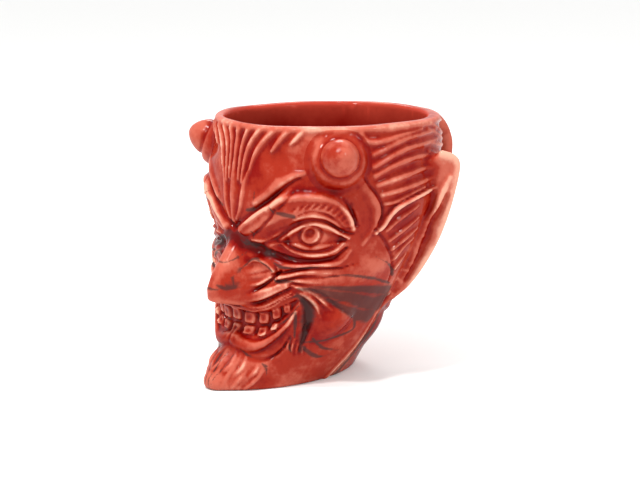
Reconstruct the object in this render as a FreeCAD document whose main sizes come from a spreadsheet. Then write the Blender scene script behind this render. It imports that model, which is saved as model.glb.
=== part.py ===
"""A slip-cast mug in the shape of a horned head, with the pieces that are luted to it before firing.

The head's face looks along -Y, its own left side is +X, the handle is at the back on +Y, and +Z is up.
Everything is laid out about the upright axis of the mug's drinking mouth, and then each finished piece is
moved back by mouth_back, which brings the origin to the ground under the middle of the whole mug.
All sizes are in millimetres and degrees.
"""
import FreeCAD, Part
import math
import os

import Sketcher
from FreeCAD import Placement, Rotation, Vector

# ---------------------------------------------------------------- driving dimensions
# The head's outside is a loft through level ellipses: its level, half width in X, half depth in Y, and
# the place of its centre in Y. The half depth is never the shorter one.
LEVELS = {
    "foot": (0.0, 19.0, 33.0, -22.0),
    "chin": (12.0, 25.0, 33.0, -16.5),
    "jaw": (24.0, 31.0, 34.0, -13.0),
    "cheek": (38.0, 37.0, 38.5, -8.5),
    "eye": (52.0, 41.5, 42.5, -4.0),
    "temple": (70.0, 45.0, 46.5, -0.5),
    "crown": (86.0, 44.5, 46.0, 0.0),
    "rim": (101.0, 43.0, 45.0, 0.0),
}
# The nose is a loft through level ellipses of its own, from the bridge down to under the tip.
NOSE = {
    "bridge": (64.0, 3.0, 4.0, -41.0),
    "ridge": (54.0, 4.5, 8.5, -41.5),
    "ball": (41.0, 7.0, 13.0, -45.5),
    "tip": (34.0, 5.5, 10.0, -46.0),
}
# The pointed beard is a loft too, from under the lower lip down to the foot.
BEARD = {
    "spike": (0.0, 13.0, 19.0, -39.0),
    "tuft": (6.0, 13.0, 20.0, -41.5),
    "knot": (13.0, 12.0, 15.0, -40.5),
    "neck": (19.0, 7.0, 8.0, -40.0),
}
SIZES = {
    "wall": 5.0,
    "floor": 7.0,
    "rim_round": 2.0,
    "foot_recess": 1.2,
    "foot_ring": 4.5,
    # brow ridges, eyes, cheekbones and nostrils: place on the face's left, and size
    "brow_out": 23.5, "brow_front": -34.5, "brow_up": 73.0,
    "brow_long": 16.0, "brow_thick": 7.5, "brow_tilt": 28.0, "brow_turn": 36.0,
    "eye_out": 25.5, "eye_front": -29.5, "eye_up": 58.0, "eye_ball": 8.5,
    "bone_out": 27.0, "bone_front": -17.0, "bone_up": 43.0, "bone_size": 13.0,
    "jowl_out": 24.0, "jowl_front": -23.0, "jowl_up": 26.0, "jowl_size": 8.5,
    "nostril_out": 9.0, "nostril_front": -45.5, "nostril_up": 42.0, "nostril_size": 5.5,
    # mouth: an arc between two corners, open between the lips, with two rows of teeth
    "corner_out": 24.5, "corner_front": -35.0, "corner_up": 36.0,
    "upper_front": -46.0, "upper_up": 31.5, "lower_front": -45.5, "lower_up": 17.5,
    "lip_thick": 3.2, "mouth_open": 7.5, "mouth_deep": 2.4,
    "bite_inset": 2.0, "bite_back": 4.0, "bite_drop": 6.0,
    "tooth_wide": 5.2, "tooth_tall": 5.6, "tooth_short": 4.6, "tooth_deep": 3.4, "tooth_row": 46.0,
    # horns: a stepped cone on each corner of the forehead
    "horn_turn": 54.0, "horn_rise": 20.0, "horn_up": 83.9, "horn_seat": 31.0,
    "horn_root": 10.0, "horn_waist": 7.6, "horn_bead": 3.8, "horn_long": 26.0,
    "horn_step": 15.0, "horn_ledge": 3.0,
    # ears: a pointed plate hollowed on its outer face
    "ear_thick": 4.6, "ear_hollow": 2.0, "ear_wide": 14.0, "ear_tall": 64.5, "ear_root": 11.0,
    "ear_rim": 3.0, "ear_round": 0.9,
    # handle: an oval bar along a line, two arcs and a line
    "bar_wide": 11.0, "bar_thick": 7.0,
    "bar_top": 96.0, "bar_start": 36.0, "bar_run": 17.0, "bar_bend": 14.0,
    "bar_sweep": 36.0, "bar_turn": 65.0, "bar_end": 24.0,
    # the last move, which brings the middle of the mug over the origin
    "mouth_back": -4.5,
}
EAR_LOBE = Vector(30.0, 6.0, 26.0)
EAR_TOP = Vector(41.5, 14.5, 80.0)
EAR_TIP = Vector(49.0, 27.0, 80.0)
# Points that the curved sides of the ear's outline and of its hollow run through, in the ear's own plane.
EAR_FLARE_THROUGH = (8.5, 19.5)
EAR_SIDE_THROUGH = (14.6, 52.0)
BOWL_BACK_THROUGH = (7.0, 25.0)
BOWL_TOP_THROUGH = (6.0, 51.0)
BOWL_FRONT_THROUGH = (2.5, 28.0)
# Points that the horn's step and its flank run through, as radius and height above its root.
HORN_STEP_THROUGH = (9.5, 17.1)
HORN_FLANK_THROUGH = (6.4, 20.2)
UPPER_TEETH = 7
LOWER_TEETH = 5
TOOTH_GAP = 0.6
# The block that trims off what lies below ground: its sides, and how deep it reaches.
GROUND_SIDE, GROUND_DEPTH = 240.0, 20.0

doc = FreeCAD.newDocument("horned_head_mug")
sheet = doc.addObject("Spreadsheet::Sheet", "Dimensions")
cell_row = 0


def put(alias, value):
    """One named cell: the name beside it in column A, the number in column B."""
    global cell_row
    cell_row += 1
    sheet.set(f"A{cell_row}", alias)
    sheet.set(f"B{cell_row}", str(value))
    sheet.setAlias(f"B{cell_row}", alias)


for group in (LEVELS, NOSE, BEARD):
    for name, values in group.items():
        for part, value in zip(("level", "wide", "deep", "centre"), values):
            put(f"{name}_{part}", value)
for name, value in SIZES.items():
    put(name, value)
doc.recompute()


def size(alias):
    """A cell's number, for the places that no expression can reach."""
    return float(sheet.get(alias))


def bind(thing, **links):
    """Binds properties to cells: a double underscore in a name stands for a dot."""
    for prop, formula in links.items():
        words = []
        for word in formula.split():
            words.append(f"Dimensions.{word}" if word[0].isalpha() else word)
        thing.setExpression(prop.replace("__", "."), " ".join(words))


# ---------------------------------------------------------------- lofted masses
def section(label, level, wide, deep, centre):
    """A level ellipse whose longer axis lies along Y, with all four numbers bound to cells."""
    ring = doc.addObject("Part::Ellipse", label)
    ring.Placement = Placement(Vector(), Rotation(Vector(0, 0, 1), 90))
    bind(ring, MajorRadius=deep, MinorRadius=wide, Placement__Base__y=centre, Placement__Base__z=level)
    return ring


def lofted(label, rings):
    mass = doc.addObject("Part::Loft", label)
    mass.Sections = rings
    mass.Solid = True
    return mass


def mass_through(label, names):
    rings = [section(f"{label}_{n}", f"{n}_level", f"{n}_wide", f"{n}_deep", f"{n}_centre") for n in names]
    return lofted(label, rings)


def inset(label, depth, lowest, highest):
    """The head's own sections drawn in by a depth, from one level to another."""
    rings = []
    for n in LEVELS:
        level = {"foot": lowest, "rim": highest}.get(n, f"{n}_level")
        rings.append(section(f"{label}_{n}", level, f"{n}_wide - {depth}", f"{n}_deep - {depth}",
                             f"{n}_centre"))
    return lofted(label, rings)


def underside():
    """The shallow recess under the floor, which leaves a foot ring to stand on."""
    rings = []
    for n, level in (("low", "foot_level - 1"), ("high", "foot_level + foot_recess")):
        rings.append(section(f"recess_{n}", level, "foot_wide - foot_ring", "foot_deep - foot_ring",
                             "foot_centre"))
    return lofted("foot_hollow", rings)


# ---------------------------------------------------------------- relief on the face
def lump(label, radii, place, turn=None):
    """An ellipsoid on the face: radii and place are cell formulas, and turn is its rotation."""
    ball = doc.addObject("Part::Ellipsoid", label)
    ball.Angle1 = -90
    if turn is not None:
        ball.Placement = Placement(Vector(), turn)
    bind(ball, Radius2=radii[0], Radius3=radii[1], Radius1=radii[2],
         Placement__Base__x=place[0], Placement__Base__y=place[1], Placement__Base__z=place[2])
    return ball


def paired_lumps():
    """Brow ridges, eyeballs, cheekbones, jowls and nostril wings, once for each side of the face."""
    made = []
    for side, sign in (("left", 1), ("right", -1)):
        minus = "" if sign > 0 else "0 - "
        brow_turn = Rotation(Vector(0, 0, 1), sign * size("brow_turn"))
        brow_tilt = Rotation(Vector(0, 1, 0), -sign * size("brow_tilt"))
        made.append(lump(f"brow_{side}", ("brow_long", "brow_thick", "brow_thick"),
                         (f"{minus}brow_out", "brow_front", "brow_up"), brow_turn.multiply(brow_tilt)))
        for name, radius in (("eye", "eye_ball"), ("bone", "bone_size"), ("jowl", "jowl_size"),
                             ("nostril", "nostril_size")):
            made.append(lump(f"{name}_{side}", (radius, radius, radius),
                             (f"{minus}{name}_out", f"{name}_front", f"{name}_up")))
    return made


def lip(label, front, up):
    """A round bar bent in one arc from corner to corner of the mouth through a point on the centre line."""
    out, back, rise = size("corner_out"), size("corner_front"), size("corner_up")
    arc = Part.Arc(Vector(-out, back, rise), Vector(0, size(front), size(up)), Vector(out, back, rise))
    edge = arc.toShape()
    start = edge.valueAt(edge.FirstParameter)
    along = edge.tangentAt(edge.FirstParameter)
    ring = Part.Wire(Part.makeCircle(size("lip_thick"), start, along))
    bar = doc.addObject("Part::Feature", label)
    bar.Shape = Part.Wire(edge).makePipeShell([ring], True, True)
    return bar


def mouth_opening():
    """The space between the lips, which goes only part of the way through the wall: the teeth stand in it."""
    bite = lump("mouth_bite", ("corner_out - bite_inset", "mouth_open * 2", "mouth_open"),
                ("0", "upper_front + bite_back", "upper_up - bite_drop"))
    return cut("mouth_opening", bite, inset("mouth_back_wall", "mouth_deep", "foot_level", "rim_level"))


def teeth(label, count, up, tall):
    """One row of square teeth on a round gum line, as one group of solids."""
    row = []
    radius = size("tooth_row")
    pitch = (size("tooth_wide") + TOOTH_GAP) / radius
    for i in range(count):
        turn = (i - (count - 1) / 2) * pitch
        tooth = Part.makeBox(size("tooth_wide"), size("tooth_deep"), tall,
                             Vector(-size("tooth_wide") / 2, -radius, up))
        tooth.rotate(Vector(), Vector(0, 0, 1), math.degrees(turn))
        row.append(tooth)
    group = doc.addObject("Part::Feature", label)
    group.Shape = Part.makeCompound(row)
    return group


def fused(label, things):
    union = doc.addObject("Part::MultiFuse", label)
    union.Shapes = things
    return union


def cut(label, base, tool):
    left = doc.addObject("Part::Cut", label)
    left.Base = base
    left.Tool = tool
    return left


def above_ground(label, thing):
    """Trims what reaches below the ground level."""
    block = doc.addObject("Part::Box", f"{label}_ground")
    block.Length, block.Width, block.Height = GROUND_SIDE, GROUND_SIDE, GROUND_DEPTH
    block.Placement = Placement(Vector(-GROUND_SIDE / 2, -GROUND_SIDE / 2, -GROUND_DEPTH), Rotation())
    return cut(label, thing, block)


def head_mass():
    """The head as one full solid with all its relief, before it is hollowed."""
    skull = mass_through("skull", LEVELS)
    nose = mass_through("nose", reversed(list(NOSE)))
    beard = mass_through("beard", BEARD)
    full = fused("face_mass", [skull, nose, beard] + paired_lumps())
    open_mouth = cut("face_open", full, mouth_opening())
    rows = [teeth("upper_teeth", UPPER_TEETH, size("upper_up") - size("tooth_tall"), size("tooth_tall")),
            teeth("lower_teeth", LOWER_TEETH, size("lower_up"), size("tooth_short"))]
    lips = [lip("upper_lip", "upper_front", "upper_up"), lip("lower_lip", "lower_front", "lower_up")]
    return above_ground("head_mass", fused("face_full", [open_mouth] + rows + lips))


def round_rim(base):
    """Rounds both edges of the lip that the drinker's mouth meets."""
    doc.recompute()
    top = size("rim_level")
    edges = [i + 1 for i, e in enumerate(base.Shape.Edges)
             if abs(e.BoundBox.ZMin - top) < 1e-3 and abs(e.BoundBox.ZMax - top) < 1e-3]
    rounded = doc.addObject("Part::Fillet", "head_shell")
    rounded.Base = base
    rounded.Edges = [(i, size("rim_round"), size("rim_round")) for i in edges]
    return rounded


# ---------------------------------------------------------------- sketches
def plane_of(body, role):
    return next(f for f in body.Origin.OriginFeatures if f.Role == role)


def sketch_on(body, name, role, offset=None):
    drawing = body.newObject("Sketcher::SketchObject", name)
    drawing.AttachmentSupport = [(plane_of(body, role), "")]
    drawing.MapMode = "FlatFace"
    if offset is not None:
        drawing.AttachmentOffset = offset
    return drawing


def pin(drawing, geo, end, x, y):
    """Holds one end of a piece of a sketch at x, y, which are cell formulas or plain numbers."""
    for kind, formula, axis in (("DistanceX", x, -2), ("DistanceY", y, -1)):
        if formula == 0:
            drawing.addConstraint(Sketcher.Constraint("PointOnObject", geo, end, axis))
            continue
        index = drawing.addConstraint(Sketcher.Constraint(kind, -1, 1, geo, end, value_of(formula)))
        if isinstance(formula, str):
            bind(drawing, **{f"Constraints[{index}]": formula})


def value_of(formula):
    """What a formula of cells and numbers joined by + - * comes to."""
    if not isinstance(formula, str):
        return float(formula)
    words = formula.split()
    total = size(words[0]) if words[0][0].isalpha() else float(words[0])
    for sign, word in zip(words[1::2], words[2::2]):
        number = size(word) if word[0].isalpha() else float(word)
        total = {"+": total + number, "-": total - number, "*": total * number}[sign]
    return total


def closed_outline(drawing, corners, bulges):
    """A closed outline through corners. A side listed in bulges is an arc through the point given there."""
    spots = [Vector(value_of(x), value_of(y), 0) for x, y in corners]
    count = len(spots)
    ends = []
    radii = {}
    for i, here in enumerate(spots):
        there = spots[(i + 1) % count]
        ends.append((1, 2))
        if i in bulges:
            side = Part.Arc(here, Vector(*bulges[i], 0), there)
            curve = side.toShape().Curve
            radii[i] = curve.Radius
            if curve.Axis.z < 0:
                ends[i] = (2, 1)
        else:
            side = Part.LineSegment(here, there)
        drawing.addGeometry(side)
    for i, (x, y) in enumerate(corners):
        before = (i - 1) % count
        drawing.addConstraint(Sketcher.Constraint("Coincident", before, ends[before][1], i, ends[i][0]))
        pin(drawing, i, ends[i][0], x, y)
    for i, radius in radii.items():
        drawing.addConstraint(Sketcher.Constraint("Radius", i, radius))


# ---------------------------------------------------------------- luted pieces
def horn_blank():
    """A turned horn standing on its own Z axis: a straight root, a rounded step, a flank and a round tip."""
    body = doc.addObject("PartDesign::Body", "horn_blank")
    profile = sketch_on(body, "horn_profile", "XZ_Plane")
    corners = [
        (0, 0),
        ("horn_root", 0),
        ("horn_root", "horn_step"),
        ("horn_waist", "horn_step + horn_ledge"),
        ("horn_bead", "horn_long - horn_bead"),
        (0, "horn_long"),
    ]
    eighth = size("horn_bead") * math.sin(math.radians(45))
    bulges = {
        2: HORN_STEP_THROUGH,
        3: HORN_FLANK_THROUGH,
        4: (eighth, size("horn_long") - size("horn_bead") + eighth),
    }
    closed_outline(profile, corners, bulges)
    turned = body.newObject("PartDesign::Revolution", "horn_turned")
    turned.Profile = profile
    turned.ReferenceAxis = (profile, ["V_Axis"])
    turned.Angle = 360
    body.Tip = turned
    return body


def placed_horn(side, sign, blank):
    """One horn leaning outwards and up from the corner of the forehead."""
    turn, rise, seat = size("horn_turn"), size("horn_rise"), size("horn_seat")
    angle = math.radians(turn)
    outward = Vector(sign * math.sin(angle), -math.cos(angle), math.tan(math.radians(rise)))
    foot = Vector(sign * math.sin(angle) * seat, -math.cos(angle) * seat, size("horn_up"))
    horn = doc.addObject("Part::Feature", f"horn_{side}_whole")
    horn.Shape = blank.Shape.copy()
    horn.Placement = Placement(foot, Rotation(Vector(0, 0, 1), outward))
    return horn


def ear_frame():
    """The ear's own frame: X out along the plate, Y up the plate, Z square to it, origin at the lobe."""
    square = (EAR_TIP - EAR_LOBE).cross(EAR_TOP - EAR_LOBE).normalize()
    up = (EAR_TOP - EAR_LOBE).normalize()
    return Placement(EAR_LOBE, Rotation(up.cross(square), up, square, "ZXY"))


def ear_plate():
    """The face's left ear: a pointed plate with a raised rim round a shallow hollow."""
    body = doc.addObject("PartDesign::Body", "ear_plate")
    outline = sketch_on(body, "ear_outline", "XY_Plane")
    corners = [
        (-2, 2),
        ("ear_wide", 42),
        ("ear_wide - 1.5", "ear_tall - 2.5"),
        ("ear_wide - 4.5", "ear_tall"),
        (1, "ear_tall"),
        ("0 - ear_root", "ear_tall - 6"),
        ("0 - ear_root", 4),
    ]
    closed_outline(outline, corners, {0: EAR_FLARE_THROUGH, 1: EAR_SIDE_THROUGH})
    plate = body.newObject("PartDesign::Pad", "ear_pad")
    plate.Profile = outline
    plate.Midplane = True
    bind(plate, Length="ear_thick")
    doc.recompute()
    hollow_at = Placement(Vector(0, 0, size("ear_thick") / 2), Rotation())
    bowl = sketch_on(body, "ear_bowl", "XY_Plane", hollow_at)
    bowl_corners = [
        (-1, 14),
        ("ear_wide - ear_rim", 42),
        ("ear_wide - ear_rim - 2.5", "ear_tall - 8"),
        (3.5, 44),
    ]
    closed_outline(bowl, bowl_corners, {0: BOWL_BACK_THROUGH, 2: BOWL_TOP_THROUGH, 3: BOWL_FRONT_THROUGH})
    hollow = body.newObject("PartDesign::Pocket", "ear_hollow_cut")
    hollow.Profile = bowl
    bind(hollow, Length="ear_hollow")
    doc.recompute()
    if plate.Shape.Volume - hollow.Shape.Volume < 1.0:
        raise RuntimeError("the ear's hollow cuts nothing")
    body.Tip = hollow
    body.Placement = ear_frame()
    return body


def mirrored(label, source):
    twin = doc.addObject("Part::Mirroring", label)
    twin.Source = source
    twin.Normal = Vector(1, 0, 0)
    return twin


def handle_bar():
    """The handle: an oval section carried along a level run, a tight bend, a long sweep and a run home."""
    body = doc.addObject("PartDesign::Body", "handle_bar")
    route = sketch_on(body, "handle_route", "YZ_Plane")
    top, start, run = size("bar_top"), size("bar_start"), size("bar_run")
    bend, sweep, turn = size("bar_bend"), size("bar_sweep"), math.radians(size("bar_turn"))
    knee = Vector(start + run, top - bend, 0)
    hub = Vector(start + run + bend - sweep, top - bend, 0)
    upright = Vector(0, 0, 1)
    route.addGeometry(Part.LineSegment(Vector(start, top, 0), Vector(start + run, top, 0)))
    route.addGeometry(Part.ArcOfCircle(Part.Circle(knee, upright, bend), 0, math.pi / 2))
    route.addGeometry(Part.ArcOfCircle(Part.Circle(hub, upright, sweep), -turn, 0))
    leave = Vector(hub.x + sweep * math.cos(turn), hub.y - sweep * math.sin(turn), 0)
    inward = Vector(-math.sin(turn), -math.cos(turn), 0) * size("bar_end")
    route.addGeometry(Part.LineSegment(leave, leave + inward))
    for a, a_end, b, b_end in ((0, 2, 1, 2), (1, 1, 2, 2), (2, 1, 3, 1)):
        route.addConstraint(Sketcher.Constraint("Tangent", a, a_end, b, b_end))
    route.addConstraint(Sketcher.Constraint("Horizontal", 0))
    pin(route, 0, 1, "bar_start", "bar_top")
    for geo, kind, alias in ((0, "Distance", "bar_run"), (1, "Radius", "bar_bend"),
                             (2, "Radius", "bar_sweep"), (3, "Distance", "bar_end")):
        index = route.addConstraint(Sketcher.Constraint(kind, geo, size(alias)))
        bind(route, **{f"Constraints[{index}]": alias})
    face_at = Placement(Vector(0, 0, -start), Rotation())
    profile = sketch_on(body, "handle_section", "XZ_Plane", face_at)
    centre = Vector(0, top, 0)
    profile.addGeometry(Part.Ellipse(centre + Vector(size("bar_wide") / 2, 0, 0),
                                     centre + Vector(0, size("bar_thick") / 2, 0), centre))
    pipe = body.newObject("PartDesign::AdditivePipe", "handle_pipe")
    pipe.Profile = profile
    pipe.Spine = (route, ["Edge1", "Edge2", "Edge3", "Edge4"])
    body.Tip = pipe
    return body


# ---------------------------------------------------------------- assembly
mass = head_mass()
hollowed = cut("head_hollowed", mass, inset("cavity", "wall", "floor", "rim_level + 0.5"))
cast_head = round_rim(cut("head_cast", hollowed, underside()))

blank = horn_blank()
doc.recompute()
pieces = {"head_shell": cast_head}
for side, sign in (("left", 1), ("right", -1)):
    pieces[f"horn_{side}"] = cut(f"horn_{side}", placed_horn(side, sign, blank), mass)
left_ear = cut("ear_left", ear_plate(), mass)
pieces["ear_left"] = left_ear
pieces["ear_right"] = mirrored("ear_right", left_ear)
pieces["handle"] = cut("handle", handle_bar(), mass)
doc.recompute()

for name, piece in pieces.items():
    piece.Label = name
    if name != "ear_right":  # it mirrors the left ear, and so it moves with it
        bind(piece, Placement__Base__y="mouth_back")
doc.recompute()
for thing in doc.Objects:
    if "Invalid" in thing.State or "Error" in thing.State:
        raise RuntimeError(f"{thing.Name} failed: {thing.State}")
for name, piece in pieces.items():
    if piece.Shape.isNull() or not piece.Shape.isValid():
        raise RuntimeError(f"{name} has no valid shape")

os.makedirs("parts", exist_ok=True)
for name, piece in pieces.items():
    piece.Shape.exportStep(os.path.join("parts", f"{name}.step"))
    box = piece.Shape.BoundBox
    print(f"{name}: {len(piece.Shape.Solids)} solid, {piece.Shape.Volume / 1000:.1f} cm3, "
          f"X {box.XMin:.1f} to {box.XMax:.1f}, Y {box.YMin:.1f} to {box.YMax:.1f}, "
          f"Z {box.ZMin:.1f} to {box.ZMax:.1f}")
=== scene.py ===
import math

import bpy
import numpy as np
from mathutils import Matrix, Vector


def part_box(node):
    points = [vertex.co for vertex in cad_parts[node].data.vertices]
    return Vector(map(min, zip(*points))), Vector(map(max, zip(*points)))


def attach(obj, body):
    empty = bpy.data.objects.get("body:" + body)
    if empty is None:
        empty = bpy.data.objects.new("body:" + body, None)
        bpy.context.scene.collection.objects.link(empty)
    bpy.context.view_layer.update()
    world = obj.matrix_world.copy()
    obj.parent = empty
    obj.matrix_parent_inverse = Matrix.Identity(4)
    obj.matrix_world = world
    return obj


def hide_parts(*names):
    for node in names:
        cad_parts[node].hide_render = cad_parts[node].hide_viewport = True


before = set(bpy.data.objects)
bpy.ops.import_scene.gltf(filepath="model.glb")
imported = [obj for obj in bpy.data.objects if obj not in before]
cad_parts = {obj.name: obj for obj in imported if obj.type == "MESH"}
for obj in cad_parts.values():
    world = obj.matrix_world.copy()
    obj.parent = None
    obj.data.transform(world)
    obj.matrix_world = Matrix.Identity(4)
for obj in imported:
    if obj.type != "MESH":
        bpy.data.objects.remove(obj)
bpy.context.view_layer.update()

import openvdb
from mathutils import Vector

# A red-glazed cast mug in the shape of a horned head. Its clay is worked out as distance fields on evenly
# spaced points, and each field is then turned into one closed mesh. The sculpt's own unit is the millimetre
# of a head 101 tall, and its axis is that of the drinking mouth: +X the face's own left, -Y forward, +Z up.
HEAD_LOW, HEAD_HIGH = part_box("head_shell")
HEAD_TALL = 101.0
MM = (HEAD_HIGH[2] - HEAD_LOW[2]) / HEAD_TALL
BEARD_REACH = 61.6  # from the mouth's axis forward to the beard's tip
MOUTH_BACK = HEAD_LOW[1] / MM + BEARD_REACH
SEED = 7

# Spacing of the fields' points, and how far a field is averaged to find fine and broad grooves.
STEP = 0.6
FINE_REACH, BROAD_REACH = 1.3, 3.6
# The head is thinned to this many triangles. A part with a higher weight gives up more of its corners, and
# the face ends at the bearing FACE_ENDS, in degrees.
MOST_FACES = 196_000
INSIDE_STARTS = 0.7  # share of the wall's thickness below the skin
FACE_ENDS, INSIDE_WEIGHT, BEHIND_WEIGHT, FACE_WEIGHT = 118.0, 0.7, 0.5, 0.2

WALL, FLOOR, RIM_ROUND = 4.6, 7.0, 1.8
FLOOR_ROUND, MOUTH_ROUND, FOOT_ROUND, DISH_ROUND = 6.0, 1.0, 1.2, 0.8
DISH_CENTRE, DISH_HALF = (0, -22, 0), (14.5, 28.5, 1.2)
# The rim's slight waves: height, number round the rim and start, and how much of them shows.
RIM_WAVES = ((0.25, 3, 0.6), (0.15, 7, 0.0))
WAVE_SHARE = 0.6
DRAWN_BACK = 1.6  # the most that the forehead is drawn back
# Level, half width, half depth and centre of the head's level sections.
SECTIONS = (
    (-6.0, 16.5, 32.5, -24.5),
    (0.0, 19.0, 33.0, -22.0),
    (12.0, 25.0, 33.0, -16.5),
    (24.0, 31.0, 34.0, -13.0),
    (38.0, 37.0, 38.5, -8.5),
    (52.0, 41.5, 42.5, -4.0),
    (70.0, 45.0, 46.5, -0.5),
    (86.0, 44.5, 46.0, 0.0),
    (101.0, 43.0, 45.0, 0.0),
    (107.0, 42.5, 44.5, 0.0),
)


# ---------------------------------------------------------------- curves and blends
def spline(points, per_span=8):
    """A smooth line through points of any width, as rows: cubic Hermite spans with even tangents."""
    p = np.asarray(points, float)
    if len(p) < 3:
        t = np.linspace(0, 1, per_span + 1)[:, None]
        return p[0] * (1 - t) + p[-1] * t
    q = np.vstack([2 * p[0] - p[1], p, 2 * p[-1] - p[-2]])
    rows = []
    for i in range(len(p) - 1):
        t = np.linspace(0, 1, per_span, endpoint=False)[:, None]
        a, b = q[i + 1], q[i + 2]
        da, db = (q[i + 2] - q[i]) / 2, (q[i + 3] - q[i + 1]) / 2
        rows.append((2 * t**3 - 3 * t**2 + 1) * a + (t**3 - 2 * t**2 + t) * da
                    + (3 * t**2 - 2 * t**3) * b + (t**3 - t**2) * db)
    return np.vstack(rows + [p[-1:]])


def join(a, b, soft):
    """Union of two fields with a fillet about as wide as soft."""
    h = np.maximum(soft - np.abs(a - b), 0.0) / soft
    return np.minimum(a, b) - h * h * soft / 4


def trim(a, b, soft):
    """Intersection of two fields with a rounded edge."""
    return -join(-a, -b, soft)


def fade(d, start, end):
    """1 at start, 0 at end and a smooth step between."""
    t = np.clip((d - end) / (start - end), 0.0, 1.0)
    return t * t * (3 - 2 * t)


# ---------------------------------------------------------------- the plain skull
LEVELS = np.array([s[0] for s in SECTIONS])
TABLE_LEVELS = np.arange(LEVELS[0], LEVELS[-1], 0.1)


def section_table():
    """Half width, half depth and centre at closely spaced levels, on a curve through the sections."""
    slopes = np.gradient(np.array(SECTIONS)[:, 1:], LEVELS, axis=0)
    span = np.clip(np.searchsorted(LEVELS, TABLE_LEVELS, side="right") - 1, 0, len(LEVELS) - 2)
    wide = (LEVELS[span + 1] - LEVELS[span])[:, None]
    t = (TABLE_LEVELS - LEVELS[span])[:, None] / wide
    a, b = np.array(SECTIONS)[span, 1:], np.array(SECTIONS)[span + 1, 1:]
    return ((2 * t**3 - 3 * t**2 + 1) * a + (t**3 - 2 * t**2 + t) * wide * slopes[span]
            + (3 * t**2 - 2 * t**3) * b + (t**3 - t**2) * wide * slopes[span + 1])


LEAST_SLOPE = 0.01  # keeps the skull's field finite on its own axis
TABLE = section_table()
TABLE_SLOPE = np.gradient(TABLE, 0.1, axis=0)


def brow_slope(x, y, z):
    """How far the forehead is drawn back below the plain skull, more towards the rim."""
    return DRAWN_BACK * fade(z, 98, 80) * fade(np.abs(bearing(x, y, z)), 30, 75)


def at_level(z, table=TABLE):
    """The table's three values at levels z, as three arrays."""
    return [np.interp(z, TABLE_LEVELS, table[:, i]) for i in range(3)]


def skull(x, y, z, inset=0.0):
    """Distance from the plain head's skin, or from the same skin drawn in by inset."""
    a, b, c = at_level(z)
    da, db, dc = at_level(z, TABLE_SLOPE)
    a, b = a - inset, b - inset
    u, v = x / a, (y - c) / b
    ring = np.sqrt(u * u + v * v) + 1e-6
    rise = (u * u * da / a + v * v * db / b + v * dc / b) / ring
    slope = np.sqrt((u / a) ** 2 + (v / b) ** 2 + (rise * ring) ** 2) / ring
    return (ring - 1) / np.maximum(slope, LEAST_SLOPE)


def bearing(x, y, z):
    """Angle round the head at each point, in degrees: 0 at the face's front, 90 at its left, 180 behind."""
    a, b, c = at_level(z)
    return np.degrees(np.arctan2(np.abs(x) / a, -(y - c) / b))


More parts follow.
